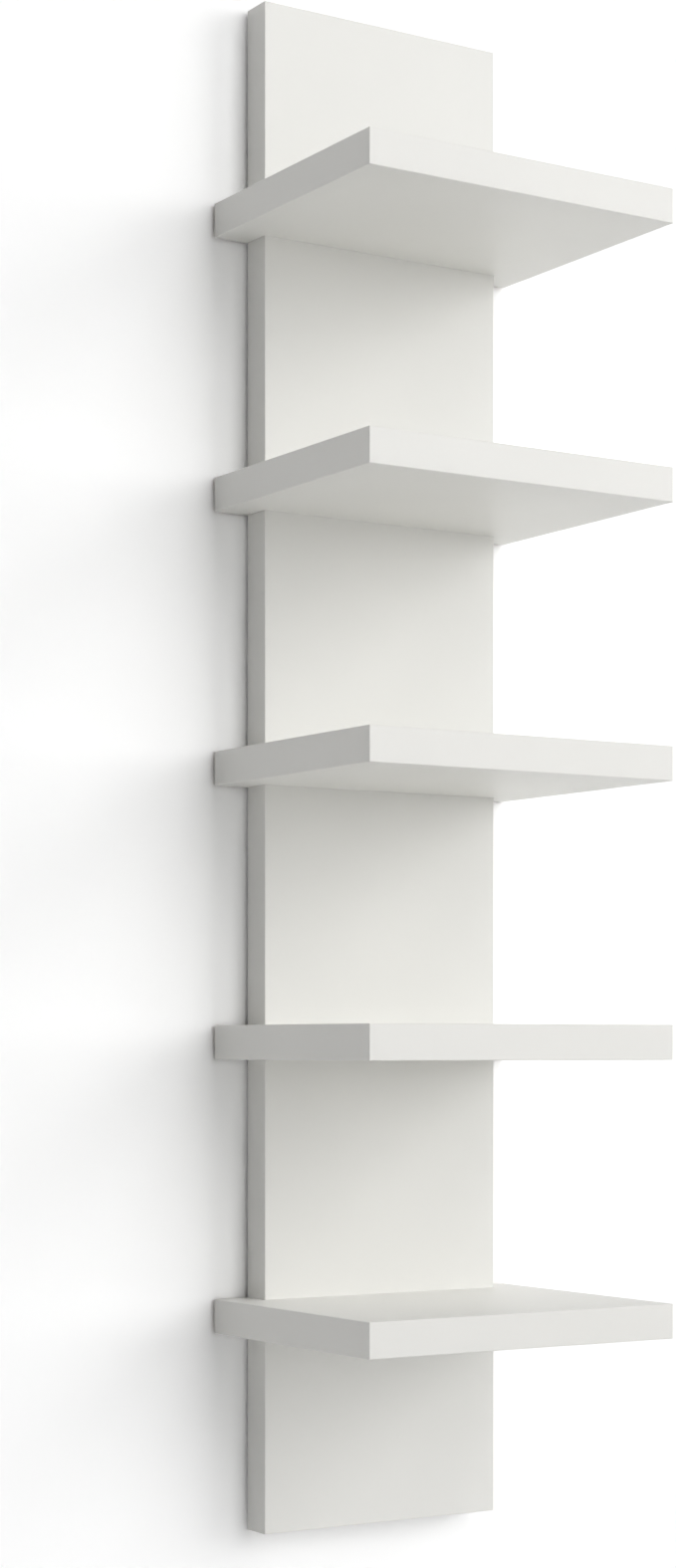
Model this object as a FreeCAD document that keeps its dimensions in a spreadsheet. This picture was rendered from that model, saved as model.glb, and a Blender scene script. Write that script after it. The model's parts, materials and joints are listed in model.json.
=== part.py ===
import FreeCAD, Part
import math
import os
import re
import Sketcher
from FreeCAD import Placement, Rotation, Vector

# Wall shelving unit: equal shelves wrapped round one upright spine that hangs flat on a wall.
# Spine and shelves are hollow-core boards: two thin skins on a frame of strips round a paper
# honeycomb, with a plastic band on every edge that shows. Screws and dowels join each shelf to
# the spine from behind, and four keyhole plates let into the back hang the unit.
# Millimetres, +Z up, the front looks towards -Y and the wall is the plane y = 0.
# The origin is the centre of the spine's back face.

# Driving dimensions: name, value, what it sets
SIZES = [
    ("shelf_count", 5, "shelves on the spine"),
    ("shelf_pitch", 231, "from one shelf to the next"),
    ("end_margin", 168.5, "spine above the top shelf, and below the bottom one"),
    ("spine_width", 236, "spine over its edge bands"),
    ("shelf_overhang", 32, "shelf beyond the spine on each side"),
    ("shelf_reach", 211, "shelf in front of the spine"),
    ("skin_thickness", 2.5, "fibreboard skins"),
    ("strip_thickness", 24, "frame strips and cores between the skins"),
    ("band_thickness", 1, "edge bands"),
    ("band_flat", 0.2, "flat strip left beside the rounding along a band's outer edges"),
    ("notch_clearance", 0.3, "between a shelf's notch and the sides of the spine"),
    ("spine_stile_width", 30, "upright strips of the spine's frame"),
    ("spine_shelf_rail_height", 50, "strips of the spine's frame behind the shelves"),
    ("shelf_front_rail_depth", 30, "strip behind a shelf's front band"),
    ("cell_width", 32, "honeycomb cells across their flats"),
    ("cell_wall", 0.6, "paper between two honeycomb cells"),
    ("core_gap", 0.5, "between a core and the strips round it"),
    ("screw_diameter", 5, "shelf screws"),
    ("screw_head_diameter", 10, "countersunk heads of the shelf screws"),
    ("screw_length", 70, "shelf screws over all"),
    ("screw_tip_length", 6, "pointed end of any screw"),
    ("screw_clearance", 0.3, "round a shelf screw's shank in the spine"),
    ("screw_access", 0.4, "round a shelf screw's head in the back skin"),
    ("screw_tip_cover", 11.5, "wood in a shelf beyond the screws' tips"),
    ("drive_width", 1, "arms of the cross recess in any screw head"),
    ("drive_depth", 1.1, "depth of the cross recess"),
    ("drive_rim", 0.6, "metal between the cross recess and the side of the head"),
    ("dowel_diameter", 8, "wooden dowels"),
    ("dowel_in_shelf", 20, "dowel inside a shelf"),
    ("dowel_cover", 6, "wood between a dowel's hole and the back skin"),
    ("dowel_end_gap", 0.5, "room beyond each end of a dowel"),
    ("dowel_chamfer", 1, "chamfer on the ends of a dowel"),
    ("dowel_inset", 20, "from the end of a rail to its dowel"),
    ("fastener_spacing", 35, "from a dowel to the screw beside it"),
    ("hanger_width", 24, "keyhole plate, with round ends"),
    ("hanger_height", 56, "keyhole plate over its round ends"),
    ("hanger_land", 0.25, "plate left under the countersinks of its screws"),
    ("hanger_seat", 1, "depth of a plate's seat in the rail behind the back skin"),
    ("hanger_clearance", 0.2, "round a plate in its seat"),
    ("hanger_margin", 7, "rail above and below a plate"),
    ("hanger_inset", 27, "from the end of a rail to the middle of a plate"),
    ("hanger_screw_diameter", 3.5, "screws of the plates"),
    ("hanger_screw_head", 7, "countersunk heads of the plates' screws"),
    ("hanger_screw_inset", 7, "from the end of a plate to its screw"),
    ("hanger_screw_cover", 10, "wood beyond the tips of the plates' screws"),
    ("keyhole_entry", 12, "round opening that a wall screw's head goes through"),
    ("keyhole_slot", 6, "slot for the shank of the wall screw"),
    ("keyhole_travel", 14, "from the middle of the opening to the top of the slot"),
    ("keyhole_margin", 1, "room round the wall screw's head behind the plate"),
    ("keyhole_room", 8, "depth behind the plate for the wall screw's head"),
]

# Sizes worked out from those above
WORKED_OUT = [
    ("board_thickness", "2 * skin_thickness + strip_thickness"),
    ("edge_round", "band_thickness - band_flat"),
    ("column_height", "(shelf_count - 1) * shelf_pitch"),
    ("top_level", "column_height / 2"),
    ("spine_height", "column_height + board_thickness + 2 * end_margin"),
    ("spine_skin_half", "spine_width / 2 - band_thickness"),
    ("spine_skin_top", "spine_height / 2 - band_thickness"),
    ("rail_half", "spine_skin_half - spine_stile_width"),
    ("notch_half", "spine_width / 2 + notch_clearance"),
    ("shelf_half", "spine_width / 2 + shelf_overhang"),
    ("shelf_skin_half", "shelf_half - band_thickness"),
    ("shelf_skin_front", "band_thickness - shelf_reach - board_thickness"),
    ("screw_depth", "screw_length + skin_thickness - board_thickness"),
    ("back_rail_depth", "screw_depth + screw_tip_cover"),
    ("shelf_core_front", "shelf_skin_front + shelf_front_rail_depth + core_gap"),
    ("shelf_core_back", "-board_thickness - back_rail_depth - core_gap"),
    ("dowel_in_spine", "board_thickness - skin_thickness - dowel_cover - dowel_end_gap"),
    ("dowel_place", "rail_half - dowel_inset"),
    ("screw_place", "dowel_place - fastener_spacing"),
    ("hanger_thickness", "(hanger_screw_head - hanger_screw_diameter) / 2 + hanger_land"),
    ("hanger_sink", "skin_thickness + hanger_seat - hanger_thickness"),
    ("hanger_travel", "hanger_height - hanger_width"),
    ("hanger_place", "rail_half - hanger_inset"),
    ("end_rail_height", "hanger_height + 2 * hanger_margin"),
    ("end_rail_level", "spine_skin_top - end_rail_height / 2"),
    ("hanger_screw_level", "hanger_height / 2 - hanger_screw_inset"),
    ("hanger_screw_depth", "strip_thickness - hanger_screw_cover"),
    ("hanger_screw_length", "hanger_screw_depth - hanger_seat + hanger_thickness"),
]

NAMES = {name for name, *rest in SIZES + WORKED_OUT}
SIDES = (-1, 1)
COUNTERSINK_ANGLE = 90
FRONT, RIGHT, UP = Vector(0, -1, 0), Vector(1, 0, 0), Vector(0, 0, 1)

doc = FreeCAD.newDocument("wall_shelving_unit")
sheet = doc.addObject("Spreadsheet::Sheet", "Sizes")
pieces = []
cuts = []


# The sheet of sizes

def fill_sheet():
    rows = [(name, str(value), meaning) for name, value, meaning in SIZES]
    rows += [(name, f"={text}", "worked out") for name, text in WORKED_OUT]
    for row, (name, content, meaning) in enumerate(rows, start=1):
        sheet.set(f"A{row}", name)
        sheet.set(f"B{row}", content)
        sheet.set(f"C{row}", meaning)
        sheet.setAlias(f"B{row}", name)
    doc.recompute()


def size(text):
    """The number that a formula of named sizes stands for now."""
    return float(sheet.evalExpression(text))


def bind(item, property_path, text):
    """Tie a property to a formula of named sizes."""
    formula = re.sub(r"[a-z_]+", lambda word: name_in_sheet(word.group()), text)
    item.setExpression(property_path, formula)


def name_in_sheet(word):
    return f"Sizes.{word}" if word in NAMES else word


# Pieces and their sketches

def place(piece, x, y, z):
    bind(piece, "Placement.Base.x", x)
    bind(piece, "Placement.Base.y", y)
    bind(piece, "Placement.Base.z", z)
    pieces.append(piece)


def new_body(label, y="0", z="0"):
    body = doc.addObject("PartDesign::Body", label)
    body.AllowCompound = True
    place(body, "0", y, z)
    return body


def new_strip(label, length, width, height, x, y, z):
    """A plain sawn strip, placed by its left, front, bottom corner."""
    strip = doc.addObject("Part::Box", label)
    bind(strip, "Length", length)
    bind(strip, "Width", width)
    bind(strip, "Height", height)
    place(strip, x, y, z)


def origin_feature(body, role):
    return next(item for item in body.Origin.OriginFeatures if item.Role == role)


def new_sketch(body, plane, name, x="0", y="0", lift="0"):
    """A sketch on one of the body's own planes, shifted in it and lifted off it."""
    sketch = body.newObject("Sketcher::SketchObject", f"{body.Label}_{name}")
    sketch.AttachmentSupport = [(origin_feature(body, plane), "")]
    sketch.MapMode = "FlatFace"
    bind(sketch, "AttachmentOffset.Base.x", x)
    bind(sketch, "AttachmentOffset.Base.y", y)
    bind(sketch, "AttachmentOffset.Base.z", lift)
    return sketch


def tie(sketch, text, kind, *where):
    index = sketch.addConstraint(Sketcher.Constraint(kind, *where, size(text)))
    bind(sketch, f"Constraints[{index}]", text)


def tie_point(sketch, x, y, curve, end):
    tie(sketch, x, "DistanceX", -1, 1, curve, end)
    tie(sketch, y, "DistanceY", -1, 1, curve, end)


def draw_outline(sketch, corners):
    """A closed outline of straight lines through the corners."""
    points = [Vector(size(x), size(y), 0) for x, y in corners]
    first = sketch.GeometryCount
    for start, end in zip(points, points[1:] + points[:1]):
        sketch.addGeometry(Part.LineSegment(start, end))
    for step, (x, y) in enumerate(corners):
        following = first + (step + 1) % len(corners)
        sketch.addConstraint(Sketcher.Constraint("Coincident", first + step, 2, following, 1))
        tie_point(sketch, x, y, first + step, 1)


def draw_rectangle(sketch, left, right, bottom, top):
    draw_outline(sketch, [(left, bottom), (right, bottom), (right, top), (left, top)])


def draw_circle(sketch, x, y, diameter):
    round_hole = Part.Circle(Vector(size(x), size(y), 0), UP, size(diameter) / 2)
    circle = sketch.addGeometry(round_hole)
    tie_point(sketch, x, y, circle, 3)
    tie(sketch, diameter, "Diameter", circle)


def draw_slot(sketch, x, y, travel, width):
    """An upright slot with round ends; travel is the distance between their centres."""
    ends = []
    for side, start in ((1, 0), (-1, math.pi)):
        level = f"{y} + {side} * ({travel}) / 2"
        centre = Vector(size(x), size(level), 0)
        circle = Part.Circle(centre, UP, size(width) / 2)
        end = sketch.addGeometry(Part.ArcOfCircle(circle, start, start + math.pi))
        tie_point(sketch, x, level, end, 3)
        tie(sketch, f"({width}) / 2", "Radius", end)
        for tip in (1, 2):
            sketch.addConstraint(Sketcher.Constraint("Horizontal", end, tip, end, 3))
        ends.append(end)
    for start, finish in (ends, reversed(ends)):
        line = Part.LineSegment(sketch.getPoint(start, 2), sketch.getPoint(finish, 1))
        side_line = sketch.addGeometry(line)
        sketch.addConstraint(Sketcher.Constraint("Coincident", start, 2, side_line, 1))
        sketch.addConstraint(Sketcher.Constraint("Coincident", side_line, 2, finish, 1))


# Features

def pad(body, sketch, thickness, reverse=False):
    feature = body.newObject("PartDesign::Pad", f"{body.Label}_pad")
    feature.Profile = sketch
    feature.Reversed = reverse
    bind(feature, "Length", thickness)
    return feature


def cut(body, sketch, depth=None, from_back=True):
    """Cut a sketch into the body, right through where no depth is given."""
    feature = body.newObject("PartDesign::Pocket", f"{body.Label}_cut")
    feature.Profile = sketch
    feature.Reversed = from_back
    if depth is None:
        feature.Type = "ThroughAll"
    else:
        bind(feature, "Length", depth)
    cuts.append(feature)
    return feature


def countersink(body, sketch, diameter, head):
    """Countersunk holes right through the body, sunk from its back."""
    doc.recompute()
    feature = body.newObject("PartDesign::Hole", f"{body.Label}_countersinks")
    feature.Profile = sketch
    feature.Reversed = True
    feature.DepthType = "ThroughAll"
    feature.HoleCutType = "Countersink"
    feature.HoleCutCustomValues = True
    feature.HoleCutCountersinkAngle = COUNTERSINK_ANGLE
    bind(feature, "Diameter", diameter)
    bind(feature, "HoleCutDiameter", head)
    cuts.append(feature)


def round_edges(body, base, outward, along=None):
    """Round the edges of the face that looks outward, or only those that run along a direction."""
    doc.recompute()
    shape = base.Shape
    face = max(shape.Faces, key=lambda one: one.CenterOfMass.dot(outward))
    names = []
    for edge in face.Edges:
        direction = edge.tangentAt(edge.FirstParameter)
        if along is None or round(abs(direction.dot(along))) == 1:
            number = 1 + next(i for i, other in enumerate(shape.Edges) if other.isSame(edge))
            names.append(f"Edge{number}")
    feature = body.newObject("PartDesign::Fillet", f"{body.Label}_rounding")
    feature.Base = (base, names)
    bind(feature, "Radius", "edge_round")


def turn(body, corners, x, level):
    """Turn an outline of radius and depth about a level axis that runs front to back."""
    sketch = new_sketch(body, "XY_Plane", "profile", x=x, lift=level)
    draw_outline(sketch, corners)
    feature = body.newObject("PartDesign::Revolution", f"{body.Label}_turned")
    feature.Profile = sketch
    feature.ReferenceAxis = (sketch, ["V_Axis"])


def column(body, length, count):
    """Copies down the body, spread over a length."""
    feature = body.newObject("PartDesign::LinearPattern", f"{body.Label}_column")
    feature.Direction = (origin_feature(body, "Z_Axis"), [""])
    feature.Reversed = True
    bind(feature, "Length", length)
    bind(feature, "Occurrences", count)
    return feature


def mirror_whole(body, *columns):
    """Mirror the whole body to the other side, then copy both down by each length and count."""
    doc.recompute()
    feature = body.newObject("PartDesign::MultiTransform", f"{body.Label}_copies")
    feature.TransformMode = "Whole shape"
    other_side = body.newObject("PartDesign::Mirrored", f"{body.Label}_mirrored")
    other_side.MirrorPlane = (origin_feature(body, "YZ_Plane"), [""])
    feature.Transformations = [other_side] + [column(body, *spread) for spread in columns]
    body.Tip = feature


def copy_down_shelves(body, feature):
    """Repeat one cut at every shelf."""
    pattern = column(body, "column_height", "shelf_count")
    pattern.Originals = [feature]
    body.Tip = pattern


# Parts that both kinds of board share

def honeycomb(width, height, thickness):
    """A paper honeycomb sheet, cut to a rectangle about the origin and raised off z = 0."""
    across = size("cell_width")
    step = across + size("cell_wall")
    rise = step * math.sqrt(3) / 2
    corner = across / math.sqrt(3)
    rows = math.ceil(height / rise / 2) + 1
    columns = math.ceil(width / step / 2) + 1
    cells = []
    for row in range(-rows, rows + 1):
        for place_in_row in range(-columns, columns + 1):
            centre = Vector((place_in_row + row % 2 / 2) * step, row * rise, 0)
            turns = [math.radians(30 + 60 * number) for number in range(7)]
            ring = [centre + Vector(math.cos(a), math.sin(a), 0) * corner for a in turns]
            cells.append(Part.Face(Part.makePolygon(ring)))
    sheet_face = Part.makePlane(width, height, Vector(-width / 2, -height / 2, 0))
    webs = sheet_face.cut(Part.makeCompound(cells))
    largest = max(webs.Faces, key=lambda web: web.Area)
    return largest.extrude(Vector(0, 0, thickness))


def add_core(label, shape, placement):
    core = doc.addObject("Part::Feature", label)
    core.Shape = shape
    core.Placement = placement
    pieces.append(core)


def draw_pair(sketch, place_text, diameter):
    """A hole on each side of the middle."""
    for side in SIDES:
        draw_circle(sketch, f"{side} * {place_text}", "0", diameter)


# The spine

def spine_skin(label, y):
    body = new_body(label, y=y)
    outline = new_sketch(body, "XZ_Plane", "outline")
    draw_rectangle(outline, "-spine_skin_half", "spine_skin_half", "-spine_skin_top", "spine_skin_top")
    pad(body, outline, "skin_thickness")
    return body


def spine_front_skin():
    body = spine_skin("spine_front_skin", "skin_thickness - board_thickness")
    holes = new_sketch(body, "XZ_Plane", "fastener_holes", y="top_level")
    draw_pair(holes, "screw_place", "screw_diameter + 2 * screw_clearance")
    draw_pair(holes, "dowel_place", "dowel_diameter")
    copy_down_shelves(body, cut(body, holes))


def spine_back_skin():
    body = spine_skin("spine_back_skin", "0")
    hanger_seats = new_sketch(body, "XZ_Plane", "hanger_seats")
    for side in SIDES:
        for end in SIDES:
            draw_hanger_seat(hanger_seats, side, f"{end} * end_rail_level")
    cut(body, hanger_seats)
    holes = new_sketch(body, "XZ_Plane", "screw_holes", y="top_level")
    draw_pair(holes, "screw_place", "screw_head_diameter + 2 * screw_access")
    copy_down_shelves(body, cut(body, holes))


def draw_hanger_seat(sketch, side, level):
    draw_slot(sketch, f"{side} * hanger_place", level, "hanger_travel", "hanger_width + 2 * hanger_clearance")


def spine_stiles():
    height = "2 * spine_skin_top"
    for label, left in (("spine_left_stile", "-spine_skin_half"), ("spine_right_stile", "rail_half")):
        new_strip(label, "spine_stile_width", "strip_thickness", height,
                  left, "-skin_thickness - strip_thickness", "-spine_skin_top")


def spine_end_rail(label, level):
    """End rail with the seats of two keyhole plates, the rooms behind them and pilot holes."""
    body = new_body(label, y="-skin_thickness", z=level)
    outline = new_sketch(body, "XZ_Plane", "outline")
    draw_rectangle(outline, "-rail_half", "rail_half", "-end_rail_height / 2", "end_rail_height / 2")
    pad(body, outline, "strip_thickness")
    seats = new_sketch(body, "XZ_Plane", "seats")
    rooms = new_sketch(body, "XZ_Plane", "rooms")
    pilots = new_sketch(body, "XZ_Plane", "pilots")
    for side in SIDES:
        draw_hanger_seat(seats, side, "0")
        across = f"{side} * hanger_place"
        draw_slot(rooms, across, "0", "keyhole_travel", "keyhole_entry + 2 * keyhole_margin")
        for end in SIDES:
            draw_circle(pilots, across, f"{end} * hanger_screw_level", "hanger_screw_diameter")
    cut(body, seats, "hanger_seat")
    cut(body, rooms, "hanger_seat + keyhole_room")
    cut(body, pilots, "hanger_screw_depth")


def spine_shelf_rail(number, level):
    """Rail behind a shelf: countersunk from the back for screws, drilled from the front for dowels."""
    body = new_body(f"spine_shelf_rail_{number}", y="-skin_thickness", z=level)
    outline = new_sketch(body, "XZ_Plane", "outline")
    half = "spine_shelf_rail_height / 2"
    draw_rectangle(outline, "-rail_half", "rail_half", f"-{half}", half)
    pad(body, outline, "strip_thickness")
    dowel_holes = new_sketch(body, "XZ_Plane", "dowel_holes", lift="strip_thickness")
    draw_pair(dowel_holes, "dowel_place", "dowel_diameter")
    cut(body, dowel_holes, "strip_thickness - dowel_cover", from_back=False)
    screw_holes = new_sketch(body, "XZ_Plane", "screw_holes")
    draw_pair(screw_holes, "screw_place", "screw_diameter")
    countersink(body, screw_holes, "screw_diameter + 2 * screw_clearance", "screw_head_diameter")


def spine_cores():
    """One honeycomb in each space between two rails, from the top down."""
    half_rail = size("spine_shelf_rail_height") / 2
    levels = [size("top_level") - number * size("shelf_pitch") for number in range(shelf_count)]
    tops = [size("end_rail_level - end_rail_height / 2")] + [level - half_rail for level in levels]
    bottoms = [level + half_rail for level in levels] + [size("end_rail_height / 2 - end_rail_level")]
    width = size("2 * (rail_half - core_gap)")
    made = {}
    cores = []
    for top, bottom in zip(tops, bottoms):
        height = round(top - bottom - 2 * size("core_gap"), 6)
        if height not in made:
            made[height] = honeycomb(width, height, size("strip_thickness"))
        cores.append(made[height].translated(Vector(0, (top + bottom) / 2, 0)))
    upright = Placement(Vector(0, -size("skin_thickness"), 0), Rotation(RIGHT, 90))
    add_core("spine_cores", Part.makeCompound(cores), upright)


def spine_bands():
    """Bands up both sides for the whole height, and bands between them on the two ends."""
    for label, side in (("spine_left_band", -1), ("spine_right_band", 1)):
        body = new_body(label)
        edge = new_sketch(body, "YZ_Plane", "edge", lift=f"{side} * spine_skin_half")
        draw_rectangle(edge, "-board_thickness", "0", "-spine_height / 2", "spine_height / 2")
        band = pad(body, edge, "band_thickness", reverse=side < 0)
        round_edges(body, band, RIGHT * side)
    for label, side in (("spine_top_band", 1), ("spine_bottom_band", -1)):
        body = new_body(label)
        edge = new_sketch(body, "XY_Plane", "edge", lift=f"{side} * spine_skin_top")
        draw_rectangle(edge, "-spine_skin_half", "spine_skin_half", "-board_thickness", "0")
        band = pad(body, edge, "band_thickness", reverse=side < 0)
        round_edges(body, band, UP * side, along=RIGHT)


# The shelves

def shelf_skin(label, level):
    body = new_body(label, z=level)
    outline = new_sketch(body, "XY_Plane", "outline")
    right_half = [
        ("shelf_skin_half", "shelf_skin_front"),
        ("shelf_skin_half", "0"),
        ("notch_half", "0"),
        ("notch_half", "-board_thickness"),
    ]
    left_half = [(f"-{x}", y) for x, y in reversed(right_half)]
    draw_outline(outline, right_half + left_half)
    pad(body, outline, "skin_thickness")


def shelf_back_rail(label, level):
    """Rail in front of the spine, drilled from behind for the dowels and the screws."""
    body = new_body(label, y="-board_thickness", z=level)
    outline = new_sketch(body, "XZ_Plane", "outline")
    draw_rectangle(outline, "-notch_half", "notch_half", "-strip_thickness / 2", "strip_thickness / 2")
    pad(body, outline, "back_rail_depth")
    dowel_holes = new_sketch(body, "XZ_Plane", "dowel_holes")
    draw_pair(dowel_holes, "dowel_place", "dowel_diameter")
    cut(body, dowel_holes, "dowel_in_shelf + dowel_end_gap")
    screw_holes = new_sketch(body, "XZ_Plane", "screw_holes")
    draw_pair(screw_holes, "screw_place", "screw_diameter")
    cut(body, screw_holes, "screw_depth")


def shelf_side_rails(label, level):
    """Strips down both sides of a shelf, which run on as its two horns beside the spine."""
    body = new_body(label, z=level)
    outline = new_sketch(body, "XY_Plane", "outline", lift="-strip_thickness / 2")
    draw_rectangle(outline, "notch_half", "shelf_skin_half", "shelf_skin_front", "0")
    pad(body, outline, "strip_thickness")
    mirror_whole(body)


def shelf_front_band(label, level):
    body = new_body(label, y="shelf_skin_front", z=level)
    edge = new_sketch(body, "XZ_Plane", "edge")
    draw_rectangle(edge, "-shelf_half", "shelf_half", "-board_thickness / 2", "board_thickness / 2")
    round_edges(body, pad(body, edge, "band_thickness"), FRONT)


def shelf_side_bands(label, level):
    body = new_body(label, z=level)
    edge = new_sketch(body, "YZ_Plane", "edge", lift="shelf_skin_half")
    draw_rectangle(edge, "shelf_skin_front", "0", "-board_thickness / 2", "board_thickness / 2")
    round_edges(body, pad(body, edge, "band_thickness"), RIGHT, along=FRONT)
    mirror_whole(body)


def shelf_core(label, level, sheet_shape):
    """The honeycomb between a shelf's front and back rails."""
    middle = size("(shelf_core_front + shelf_core_back) / 2")
    bottom = size(f"{level} - strip_thickness / 2")
    add_core(label, sheet_shape, Placement(Vector(0, middle, bottom), Rotation()))


def shelf(number, level, core_sheet):
    name = f"shelf_{number}"
    shelf_skin(f"{name}_top_skin", f"{level} + strip_thickness / 2")
    shelf_skin(f"{name}_bottom_skin", f"{level} - strip_thickness / 2 - skin_thickness")
    new_strip(f"{name}_front_rail", "2 * notch_half", "shelf_front_rail_depth", "strip_thickness",
              "-notch_half", "shelf_skin_front", f"{level} - strip_thickness / 2")
    shelf_back_rail(f"{name}_back_rail", level)
    shelf_side_rails(f"{name}_side_rails", level)
    shelf_core(f"{name}_core", level, core_sheet)
    shelf_front_band(f"{name}_front_band", level)
    shelf_side_bands(f"{name}_side_bands", level)


# Fasteners and hangers

def screw(label, y, x, level, diameter, head, length):
    """A countersunk screw with a pointed end and a cross recess, its head level with y."""
    body = new_body(label, y=y)
    turn(body, [
        ("0", "0"),
        (f"{head} / 2", "0"),
        (f"{diameter} / 2", f"({diameter} - {head}) / 2"),
        (f"{diameter} / 2", f"screw_tip_length - {length}"),
        ("0", f"-{length}"),
    ], x=x, level=level)
    near = "drive_width / 2"
    far = f"({head} / 2 - drive_depth - drive_rim)"
    recess = new_sketch(body, "XZ_Plane", "recess", x=x, y=level)
    draw_outline(recess, [
        (near, near), (near, far), (f"-{near}", far), (f"-{near}", near),
        (f"-{far}", near), (f"-{far}", f"-{near}"), (f"-{near}", f"-{near}"), (f"-{near}", f"-{far}"),
        (near, f"-{far}"), (near, f"-{near}"), (far, f"-{near}"), (far, near),
    ])
    cut(body, recess, "drive_depth")
    return body


def shelf_screws():
    body = screw("shelf_screws", "-skin_thickness", "screw_place", "top_level",
                 "screw_diameter", "screw_head_diameter", "screw_length")
    mirror_whole(body, ("column_height", "shelf_count"))


def shelf_dowels():
    body = new_body("shelf_dowels", y="-board_thickness")
    turn(body, [
        ("0", "dowel_in_spine"),
        ("dowel_diameter / 2 - dowel_chamfer", "dowel_in_spine"),
        ("dowel_diameter / 2", "dowel_in_spine - dowel_chamfer"),
        ("dowel_diameter / 2", "dowel_chamfer - dowel_in_shelf"),
        ("dowel_diameter / 2 - dowel_chamfer", "-dowel_in_shelf"),
        ("0", "-dowel_in_shelf"),
    ], x="dowel_place", level="top_level")
    mirror_whole(body, ("column_height", "shelf_count"))


def hanger_plates():
    """Keyhole plates: the head of a wall screw goes in below, and its shank slides up the slot."""
    body = new_body("hanger_plates", y="-hanger_sink")
    where = {"x": "hanger_place", "y": "end_rail_level"}
    outline = new_sketch(body, "XZ_Plane", "outline", **where)
    draw_slot(outline, "0", "0", "hanger_travel", "hanger_width")
    pad(body, outline, "hanger_thickness")
    entry = new_sketch(body, "XZ_Plane", "entry", **where)
    draw_circle(entry, "0", "-keyhole_travel / 2", "keyhole_entry")
    cut(body, entry)
    slot = new_sketch(body, "XZ_Plane", "slot", **where)
    draw_slot(slot, "0", "0", "keyhole_travel", "keyhole_slot")
    cut(body, slot)
    holes = new_sketch(body, "XZ_Plane", "holes", **where)
    for end in SIDES:
        draw_circle(holes, "0", f"{end} * hanger_screw_level", "hanger_screw_diameter")
    countersink(body, holes, "hanger_screw_diameter", "hanger_screw_head")
    mirror_whole(body, ("2 * end_rail_level", "2"))


def hanger_screws():
    body = screw("hanger_screws", "-hanger_sink", "hanger_place", "end_rail_level + hanger_screw_level",
                 "hanger_screw_diameter", "hanger_screw_head", "hanger_screw_length")
    in_one_plate = ("2 * hanger_screw_level", "2")
    in_both_ends = ("2 * end_rail_level", "2")
    mirror_whole(body, in_one_plate, in_both_ends)


# Checks and files

def check_pieces():
    for item in doc.Objects:
        if {"Invalid", "Error"} & set(item.State):
            raise RuntimeError(f"{item.Label} failed: {item.State}")
    for feature in cuts:
        if feature.Shape.Volume >= feature.BaseFeature.Shape.Volume:
            raise RuntimeError(f"{feature.Label} cuts nothing")
    for piece in pieces:
        if piece.Shape.isNull() or not piece.Shape.isValid() or not piece.Shape.Solids:
            raise RuntimeError(f"{piece.Label} has no valid solid")


def write_pieces():
    os.makedirs("parts", exist_ok=True)
    for piece in pieces:
        piece.Shape.exportStep(f"parts/{piece.Label}.step")
    whole = Part.makeCompound([piece.Shape for piece in pieces])
    box = whole.BoundBox
    print(f"{len(pieces)} pieces, {len(whole.Solids)} solids")
    print(f"{box.XLength:.2f} wide, {box.YLength:.2f} deep, {box.ZLength:.2f} high")


fill_sheet()
shelf_count = int(size("shelf_count"))
shelf_levels = [f"top_level - {number} * shelf_pitch" for number in range(shelf_count)]

spine_front_skin()
spine_back_skin()
spine_stiles()
spine_end_rail("spine_top_rail", "end_rail_level")
spine_end_rail("spine_bottom_rail", "-end_rail_level")
for shelf_number, shelf_level in enumerate(shelf_levels, start=1):
    spine_shelf_rail(shelf_number, shelf_level)
spine_cores()
spine_bands()

core_width = size("2 * (notch_half - core_gap)")
core_depth = size("shelf_core_back - shelf_core_front")
core_honeycomb = honeycomb(core_width, core_depth, size("strip_thickness"))
for shelf_number, shelf_level in enumerate(shelf_levels, start=1):
    shelf(shelf_number, shelf_level, core_honeycomb)

shelf_screws()
shelf_dowels()
hanger_plates()
hanger_screws()

doc.recompute()
check_pieces()
write_pieces()
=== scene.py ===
import json
import math

import bpy
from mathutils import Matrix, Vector


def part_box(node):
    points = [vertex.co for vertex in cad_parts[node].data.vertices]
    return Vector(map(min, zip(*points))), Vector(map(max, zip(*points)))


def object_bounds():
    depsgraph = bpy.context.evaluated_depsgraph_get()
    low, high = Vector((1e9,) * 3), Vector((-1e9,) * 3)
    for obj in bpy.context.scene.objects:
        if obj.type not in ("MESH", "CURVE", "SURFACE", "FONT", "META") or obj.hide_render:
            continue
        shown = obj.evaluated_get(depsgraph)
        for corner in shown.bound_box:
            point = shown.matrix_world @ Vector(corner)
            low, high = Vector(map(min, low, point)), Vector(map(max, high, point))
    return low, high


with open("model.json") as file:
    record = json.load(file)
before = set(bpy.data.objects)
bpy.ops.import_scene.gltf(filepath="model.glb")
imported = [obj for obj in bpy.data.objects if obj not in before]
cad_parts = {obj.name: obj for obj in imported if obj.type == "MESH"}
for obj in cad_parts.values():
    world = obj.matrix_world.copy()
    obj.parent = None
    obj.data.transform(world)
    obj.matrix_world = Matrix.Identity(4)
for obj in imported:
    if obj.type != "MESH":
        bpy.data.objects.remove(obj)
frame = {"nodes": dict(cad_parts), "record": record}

# Wall shelving unit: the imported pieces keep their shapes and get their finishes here.
# Metres, +Z up, the front looks towards -Y and the back is the plane y = 0.

cad_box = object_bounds()
unit_middle = (cad_box[0] + cad_box[1]) / 2
MM = 0.001
WHITE = (1.0, 1.0, 1.0, 1.0)

# Camera, fitted to the photo's edges. The first three are in its pixels, the sensor in millimetres.
PHOTO_HEIGHT = 1575
FOCAL_PIXELS = 2868.5
HORIZON_ROW = 1050.9
CAMERA_PLACE = (-1.3496, -2.0909, -0.2342)
CAMERA_TURN = math.radians(-32.318)
SENSOR = 36.0

# Where the wall and the floor are
WALL_GAP = 3 * MM
WALL_HALF_WIDTH = 9.0
WALL_TOP = 5.0
FLOOR_LEVEL = -1.25
FLOOR_DEPTH = 10.0

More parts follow.
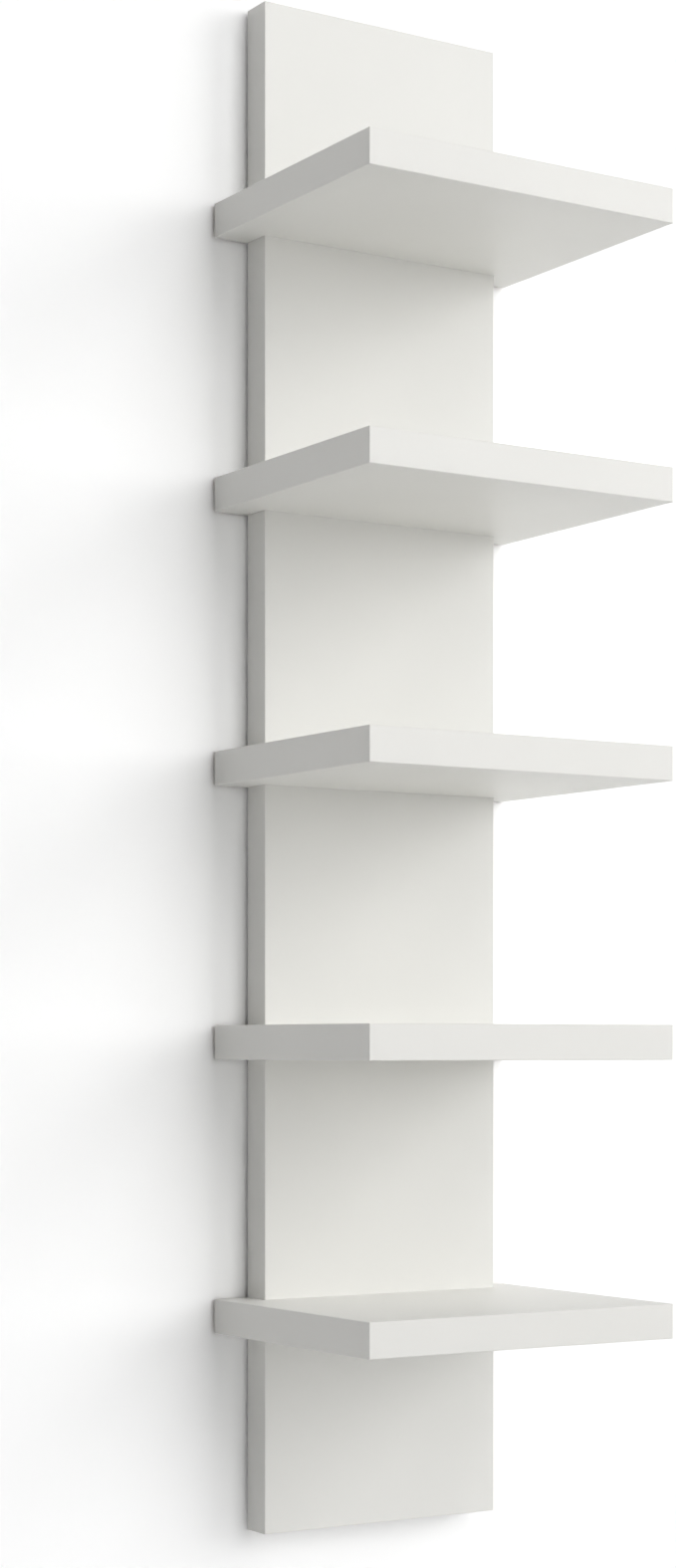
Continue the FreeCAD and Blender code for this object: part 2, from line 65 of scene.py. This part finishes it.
# The share of light that wall and floor send back, and how bright each is where it is seen directly
STAGE_BOUNCE = 0.80
WALL_SEEN = 1.22
FLOOR_SEEN = 1.50

# How far from the unit's middle, along x, y and z, wall and floor keep its shadow (0 doesn't count),
# and the share of that distance at which plain white begins to take over
WALL_SHADOW_REACH = (0.62, 0.0, 1.15)
FLOOR_SHADOW_REACH = (1.3, 1.3, 0.0)
FADE_START = 0.5

# The world's own light, and the lamps' distance from the unit's middle
WORLD_LEVEL = 0.02
LAMP_REACH = 12.0

# Most of a noise texture's values lie between these
NOISE_LOW = 0.3
NOISE_HIGH = 0.7

# A face looks along an axis if that part of its normal is more than this
FACING = 0.7


# Node helpers

class Shader:
    """The node tree of a material or a world, with short calls to add nodes and link them."""

    def __init__(self, owner, output_kind):
        self.owner = owner
        self.owner.use_nodes = True
        self.tree = owner.node_tree
        self.tree.nodes.clear()
        self.output = self.add(output_kind)

    def add(self, kind, **settings):
        node = self.tree.nodes.new(kind)
        for key, value in settings.items():
            setattr(node, key, value)
        return node

    def link(self, source, target):
        self.tree.links.new(source, target)

    def set(self, socket, value):
        """Set a socket to a value, or link it if the value is another node's socket."""
        if isinstance(value, bpy.types.NodeSocket):
            self.link(value, socket)
        else:
            socket.default_value = value

    def show(self, shader):
        """Use a shader as the result, and return the material or world."""
        self.link(shader, self.output.inputs["Surface"])
        return self.owner

    def place(self, scale=(1.0, 1.0, 1.0)):
        """Places in metres in the unit's own frame, scaled along each axis."""
        coordinates = self.add("ShaderNodeTexCoord")
        mapping = self.add("ShaderNodeMapping")
        self.link(coordinates.outputs["Object"], mapping.inputs["Vector"])
        mapping.inputs["Scale"].default_value = scale
        return mapping.outputs["Vector"]

    def distance(self, centre, reach):
        """How far a place is from the centre, as a share of the reach along each axis that has one."""
        scale = [1.0 / far if far else 0.0 for far in reach]
        node = self.add("ShaderNodeVectorMath", operation="DISTANCE")
        self.link(self.place(scale), node.inputs[0])
        node.inputs[1].default_value = [at * share for at, share in zip(centre, scale)]
        return node.outputs["Value"]

    def noise(self, place, cell, detail=2.0, roughness=0.5):
        """Smooth noise whose features are about one cell across, in metres."""
        node = self.add("ShaderNodeTexNoise")
        self.link(place, node.inputs["Vector"])
        node.inputs["Scale"].default_value = 1.0 / cell
        node.inputs["Detail"].default_value = detail
        node.inputs["Roughness"].default_value = roughness
        return node.outputs["Fac"]

    def chips(self, place, cell):
        """Random cells about one cell across, in metres: a random value, and the distance to the middle."""
        node = self.add("ShaderNodeTexVoronoi")
        self.link(place, node.inputs["Vector"])
        node.inputs["Scale"].default_value = 1.0 / cell
        return node.outputs["Color"], node.outputs["Distance"]

    def spread(self, value, low, high, start=NOISE_LOW, end=NOISE_HIGH, curve="LINEAR"):
        """Map a value from the range of start to end to the range of low to high."""
        node = self.add("ShaderNodeMapRange", interpolation_type=curve)
        self.link(value, node.inputs["Value"])
        node.inputs["From Min"].default_value = start
        node.inputs["From Max"].default_value = end
        node.inputs["To Min"].default_value = low
        node.inputs["To Max"].default_value = high
        return node.outputs["Result"]

    def compute(self, operation, *values):
        """One step of arithmetic on numbers or other nodes' sockets."""
        node = self.add("ShaderNodeMath", operation=operation)
        for socket, value in zip(node.inputs, values):
            self.set(socket, value)
        return node.outputs[0]

    def mix_colours(self, share, first, second):
        node = self.add("ShaderNodeMix", data_type="RGBA")
        self.set(node.inputs["Factor"], share)
        self.set(node.inputs["A"], first)
        self.set(node.inputs["B"], second)
        return node.outputs["Result"]

    def mix_shaders(self, share, first, second):
        node = self.add("ShaderNodeMixShader")
        self.link(share, node.inputs["Fac"])
        self.link(first, node.inputs[1])
        self.link(second, node.inputs[2])
        return node.outputs["Shader"]

    def ramp(self, value, *stops):
        """A colour ramp through stops of position and colour, from the lowest up."""
        node = self.add("ShaderNodeValToRGB")
        self.link(value, node.inputs["Fac"])
        elements = node.color_ramp.elements
        for position, colour in stops[1:-1]:
            elements.new(position)
        for element, (position, colour) in zip(elements, stops):
            element.position = position
            element.color = colour
        return node.outputs["Color"]

    def bump(self, height, depth, strength, normal=None):
        """A normal for a texture's height, in metres of depth, on top of another bump if one is given."""
        node = self.add("ShaderNodeBump")
        self.link(height, node.inputs["Height"])
        node.inputs["Distance"].default_value = depth
        node.inputs["Strength"].default_value = strength
        if normal is not None:
            self.link(normal, node.inputs["Normal"])
        return node.outputs["Normal"]

    def faces_along(self, axis):
        """One on faces that look along an axis, either way, and zero on the others."""
        geometry = self.add("ShaderNodeNewGeometry")
        parts = self.add("ShaderNodeSeparateXYZ")
        self.link(geometry.outputs["True Normal"], parts.inputs["Vector"])
        along_axis = self.compute("ABSOLUTE", parts.outputs[axis])
        return self.compute("GREATER_THAN", along_axis, FACING)

    def seen_directly(self):
        """One for a ray that shows the background: from the camera, in a reflection or through glass."""
        path = self.add("ShaderNodeLightPath")
        seen = path.outputs["Is Camera Ray"]
        for ray in ("Is Glossy Ray", "Is Transmission Ray"):
            seen = self.compute("MAXIMUM", seen, path.outputs[ray])
        return seen

    def surface(self, colour, roughness, normal, metallic=0.0, specular=0.5):
        """Use a surface with this finish as the result, and return its material."""
        node = self.add("ShaderNodeBsdfPrincipled")
        self.set(node.inputs["Base Color"], colour)
        self.set(node.inputs["Roughness"], roughness)
        self.set(node.inputs["Normal"], normal)
        node.inputs["Metallic"].default_value = metallic
        node.inputs["Specular IOR Level"].default_value = specular
        return self.show(node.outputs["BSDF"])


def material_shader(name):
    return Shader(bpy.data.materials.new(name), "ShaderNodeOutputMaterial")


# Finishes: their colours, from dark to pale where a texture runs between two

FOIL_SHADE = (0.862, 0.857, 0.824, 1.0)
FOIL_COLOUR = (0.878, 0.872, 0.838, 1.0)
BAND_SHADE = (0.862, 0.855, 0.822, 1.0)
BAND_COLOUR = (0.876, 0.868, 0.834, 1.0)
FIBRE_DARK = (0.24, 0.16, 0.09, 1.0)
FIBRE_COLOUR = (0.36, 0.25, 0.15, 1.0)
CHIP_DARK = (0.20, 0.12, 0.06, 1.0)
CHIP_BROWN = (0.50, 0.36, 0.21, 1.0)
CHIP_PALE = (0.68, 0.53, 0.34, 1.0)
PAPER_DARK = (0.36, 0.25, 0.14, 1.0)
PAPER_PALE = (0.58, 0.44, 0.28, 1.0)
BEECH_FLECK = (0.30, 0.18, 0.09, 1.0)
BEECH_DARK = (0.55, 0.38, 0.23, 1.0)
BEECH_PALE = (0.72, 0.55, 0.37, 1.0)
ZINC_BLUE = (0.58, 0.60, 0.63, 1.0)
ZINC_GREY = (0.70, 0.70, 0.69, 1.0)
SCREW_DARK = (0.36, 0.37, 0.40, 1.0)
SCREW_PALE = (0.52, 0.52, 0.53, 1.0)

# The random value of a plain brown chip: lower ones are darker, higher ones paler
PLAIN_CHIP = 0.45

# Scales of textures along x, y and z: less than one draws a texture out along that axis
CHIP_SCALE = (1.0, 0.6, 1.0)
PAPER_SCALE = (1.0, 1.0, 0.3)
BEECH_GRAIN_SCALE = (1.0, 0.08, 1.0)
BEECH_FLECK_SCALE = (1.0, 0.25, 1.0)
ZINC_LINE_SCALE = (1.0, 1.0, 0.05)
BAND_STREAK_SCALE = 0.04


def foil_board(name, face_axis):
    """White satin foil on fibreboard: broad faces along face_axis are foil, cut edges are bare fibre."""
    shader = material_shader(name)
    place = shader.place()
    drift = shader.spread(shader.noise(place, cell=120 * MM), low=0.0, high=1.0)
    foil = shader.mix_colours(drift, FOIL_COLOUR, FOIL_SHADE)
    strands = shader.noise(place, cell=0.6 * MM, detail=4.0)
    fibres = shader.mix_colours(strands, FIBRE_DARK, FIBRE_COLOUR)
    colour = shader.mix_colours(shader.faces_along(face_axis), fibres, foil)
    grain = shader.noise(place, cell=0.5 * MM, detail=3.0)
    wave = shader.noise(place, cell=35 * MM, detail=1.0)
    pebbled = shader.bump(grain, depth=0.02 * MM, strength=0.5)
    waved = shader.bump(wave, depth=0.12 * MM, strength=0.6, normal=pebbled)
    return shader.surface(colour, shader.spread(grain, low=0.40, high=0.48), waved)


def edge_band(name, along):
    """White plastic edge band, drawn out along one axis."""
    shader = material_shader(name)
    scale = [1.0, 1.0, 1.0]
    scale[along] = BAND_STREAK_SCALE
    streaks = shader.noise(shader.place(scale), cell=1.2 * MM, detail=3.0)
    place = shader.place()
    drift = shader.spread(shader.noise(place, cell=90 * MM), low=0.0, high=1.0)
    colour = shader.mix_colours(drift, BAND_COLOUR, BAND_SHADE)
    grain = shader.noise(place, cell=0.4 * MM)
    pebbled = shader.bump(grain, depth=0.015 * MM, strength=0.5)
    drawn = shader.bump(streaks, depth=0.01 * MM, strength=0.5, normal=pebbled)
    return shader.surface(colour, shader.spread(streaks, low=0.34, high=0.46), drawn)


def particle_board(name):
    """Raw particle board: flat chips of many browns."""
    shader = material_shader(name)
    place = shader.place(CHIP_SCALE)
    tone, middle = shader.chips(place, cell=2.2 * MM)
    chips = shader.ramp(tone, (0.0, CHIP_DARK), (PLAIN_CHIP, CHIP_BROWN), (1.0, CHIP_PALE))
    fibres = shader.noise(place, cell=0.7 * MM, detail=4.0)
    colour = shader.mix_colours(shader.spread(fibres, low=0.0, high=0.45), chips, FIBRE_DARK)
    pressed = shader.bump(middle, depth=0.3 * MM, strength=0.7)
    return shader.surface(colour, shader.spread(fibres, low=0.7, high=0.9), pressed, specular=0.25)


def kraft_paper(name):
    """Brown kraft paper with long fibres."""
    shader = material_shader(name)
    fibres = shader.noise(shader.place(PAPER_SCALE), cell=0.8 * MM, detail=5.0, roughness=0.65)
    colour = shader.ramp(fibres, (NOISE_LOW, PAPER_DARK), (NOISE_HIGH, PAPER_PALE))
    felted = shader.bump(fibres, depth=0.08 * MM, strength=0.6)
    return shader.surface(colour, shader.spread(fibres, low=0.8, high=0.95), felted, specular=0.2)


def beech(name):
    """Raw beech with its grain along the dowel and short dark flecks."""
    shader = material_shader(name)
    grain = shader.noise(shader.place(BEECH_GRAIN_SCALE), cell=1.5 * MM, detail=4.0)
    specks = shader.noise(shader.place(BEECH_FLECK_SCALE), cell=0.6 * MM, detail=1.0)
    wood = shader.ramp(grain, (NOISE_LOW, BEECH_DARK), (NOISE_HIGH, BEECH_PALE))
    flecks = shader.spread(specks, low=0.0, high=0.5, start=0.6, end=0.75)
    colour = shader.mix_colours(flecks, wood, BEECH_FLECK)
    grained = shader.bump(grain, depth=0.1 * MM, strength=0.5)
    return shader.surface(colour, shader.spread(grain, low=0.55, high=0.7), grained, specular=0.3)


def zinc(name, dark, pale):
    """Zinc plating on steel, clouded, and worn along fine lines."""
    shader = material_shader(name)
    clouds = shader.noise(shader.place(), cell=6 * MM, detail=3.0)
    lines = shader.noise(shader.place(ZINC_LINE_SCALE), cell=0.4 * MM, detail=3.0)
    colour = shader.ramp(clouds, (NOISE_LOW, dark), (NOISE_HIGH, pale))
    brushed = shader.bump(lines, depth=0.02 * MM, strength=0.6)
    return shader.surface(colour, shader.spread(lines, low=0.24, high=0.42), brushed, metallic=1.0)


Y_AXIS = 1
shelf_foil = foil_board("shelf_foil", "Z")
spine_foil = foil_board("spine_foil", "Y")
plate_zinc = zinc("plate_zinc", ZINC_BLUE, ZINC_GREY)
screw_zinc = zinc("screw_zinc", SCREW_DARK, SCREW_PALE)
bands = [edge_band(f"edge_band_{letter}", axis) for axis, letter in enumerate("xyz")]
finishes = {
    "frame_wood": particle_board("particle_board"),
    "core_paper": kraft_paper("kraft_paper"),
    "dowel_wood": beech("beech"),
}


def band_of(node):
    """The edge band drawn out along a node's length. A pair of side bands runs along the depth."""
    if node.endswith("side_bands"):
        return bands[Y_AXIS]
    low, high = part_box(node)
    reach = list(high - low)
    return bands[reach.index(max(reach))]


def finish_of(node, slot):
    if slot == "white_board":
        return spine_foil if node.startswith("spine") else shelf_foil
    if slot == "zinc_steel":
        return screw_zinc if node.endswith("screws") else plate_zinc
    if slot == "edge_band":
        return band_of(node)
    return finishes[slot]


for part in frame["record"]["subparts"]:
    piece = frame["nodes"][part["node"]]
    piece.data.materials.clear()
    piece.data.materials.append(finish_of(part["node"], part["material_slot"]))


# Stage: a plain wall that shows only from its front, and a plain floor well below the unit

def stage_paint(name, reach, shown_level):
    """Matt white that keeps the unit's shadow and, at the reach from its middle, is plain white.

    A look from behind goes straight through it, and meets no stage after that.
    """
    shader = material_shader(name)
    seen = shader.seen_directly()
    matt = shader.add("ShaderNodeBsdfDiffuse")
    level = shader.spread(seen, low=STAGE_BOUNCE, high=shown_level, start=0.0, end=1.0)
    shader.link(level, matt.inputs["Color"])
    plain = shader.add("ShaderNodeEmission")
    plain.inputs["Color"].default_value = WHITE
    distance = shader.distance(unit_middle, reach)
    away = shader.spread(distance, low=0.0, high=1.0, start=FADE_START, end=1.0, curve="SMOOTHSTEP")
    is_plain = shader.compute("MULTIPLY", seen, away)
    front = shader.mix_shaders(is_plain, matt.outputs["BSDF"], plain.outputs["Emission"])
    clear = shader.add("ShaderNodeBsdfTransparent")
    geometry = shader.add("ShaderNodeNewGeometry")
    path = shader.add("ShaderNodeLightPath")
    is_absent = shader.compute("MAXIMUM", geometry.outputs["Backfacing"], path.outputs["Transparent Depth"])
    return shader.show(shader.mix_shaders(is_absent, front, clear.outputs["BSDF"]))


def stage_sheet(name, corners, material):
    mesh = bpy.data.meshes.new(name)
    mesh.from_pydata(corners, [], [range(len(corners))])
    mesh.materials.append(material)
    sheet = bpy.data.objects.new(name, mesh)
    bpy.context.scene.collection.objects.link(sheet)


wall_place = cad_box[1].y + WALL_GAP
floor_front = wall_place - FLOOR_DEPTH
stage_sheet("wall", [
    (-WALL_HALF_WIDTH, wall_place, FLOOR_LEVEL),
    (WALL_HALF_WIDTH, wall_place, FLOOR_LEVEL),
    (WALL_HALF_WIDTH, wall_place, WALL_TOP),
    (-WALL_HALF_WIDTH, wall_place, WALL_TOP),
], stage_paint("wall_paint", WALL_SHADOW_REACH, WALL_SEEN))
stage_sheet("floor", [
    (-WALL_HALF_WIDTH, floor_front, FLOOR_LEVEL),
    (WALL_HALF_WIDTH, floor_front, FLOOR_LEVEL),
    (WALL_HALF_WIDTH, wall_place, FLOOR_LEVEL),
    (-WALL_HALF_WIDTH, wall_place, FLOOR_LEVEL),
], stage_paint("floor_paint", FLOOR_SHADOW_REACH, FLOOR_SEEN))


# Light

def soft_box(name, turn, rise, wide, tall, level):
    """A soft box aimed at the unit's middle, with its place and its size as angles in degrees.

    It stands turn to the right of the unit's front and rise above it, and spans wide by tall as
    seen from there. Its level is about what it adds on a white surface that faces it.
    """
    turn, rise, wide, tall = (math.radians(angle) for angle in (turn, rise, wide, tall))
    ahead = math.cos(rise)
    offset = Vector((math.sin(turn) * ahead, -math.cos(turn) * ahead, math.sin(rise))) * LAMP_REACH
    data = bpy.data.lights.new(name, "AREA")
    data.shape = "RECTANGLE"
    data.size = 2 * LAMP_REACH * math.tan(wide / 2)
    data.size_y = 2 * LAMP_REACH * math.tan(tall / 2)
    data.energy = level * (math.pi * LAMP_REACH) ** 2
    lamp = bpy.data.objects.new(name, data)
    bpy.context.scene.collection.objects.link(lamp)
    lamp.location = unit_middle + offset
    lamp.rotation_mode = "QUATERNION"
    lamp.rotation_quaternion = (-offset).to_track_quat("-Z", "Y")
    lamp.visible_camera = False


soft_box("key", turn=60, rise=15, wide=34, tall=34, level=0.50)
soft_box("front_fill", turn=12, rise=27, wide=30, tall=55, level=0.53)
soft_box("left_fill", turn=-70, rise=25, wide=15, tall=40, level=0.06)
soft_box("back_fill", turn=-140, rise=11, wide=28, tall=28, level=1.00)

world = bpy.data.worlds.new("studio")
bpy.context.scene.world = world
sky = Shader(world, "ShaderNodeOutputWorld")
background = sky.add("ShaderNodeBackground")
background.inputs["Color"].default_value = WHITE
strength = sky.spread(sky.seen_directly(), low=WORLD_LEVEL, high=1.0, start=0.0, end=1.0)
sky.link(strength, background.inputs["Strength"])
sky.show(background.outputs["Background"])


# Camera: level, with the sensor along the photo's height, and shifted to put the horizon on its row

camera_data = bpy.data.cameras.new("camera")
camera_data.sensor_width = SENSOR
camera_data.lens = SENSOR * FOCAL_PIXELS / PHOTO_HEIGHT
camera_data.shift_y = (HORIZON_ROW - PHOTO_HEIGHT / 2) / PHOTO_HEIGHT
camera = bpy.data.objects.new("camera", camera_data)
bpy.context.scene.collection.objects.link(camera)
camera.location = CAMERA_PLACE
camera.rotation_euler = (math.pi / 2, 0.0, CAMERA_TURN)
bpy.context.scene.camera = camera

bpy.context.scene.view_settings.view_transform = "Standard"
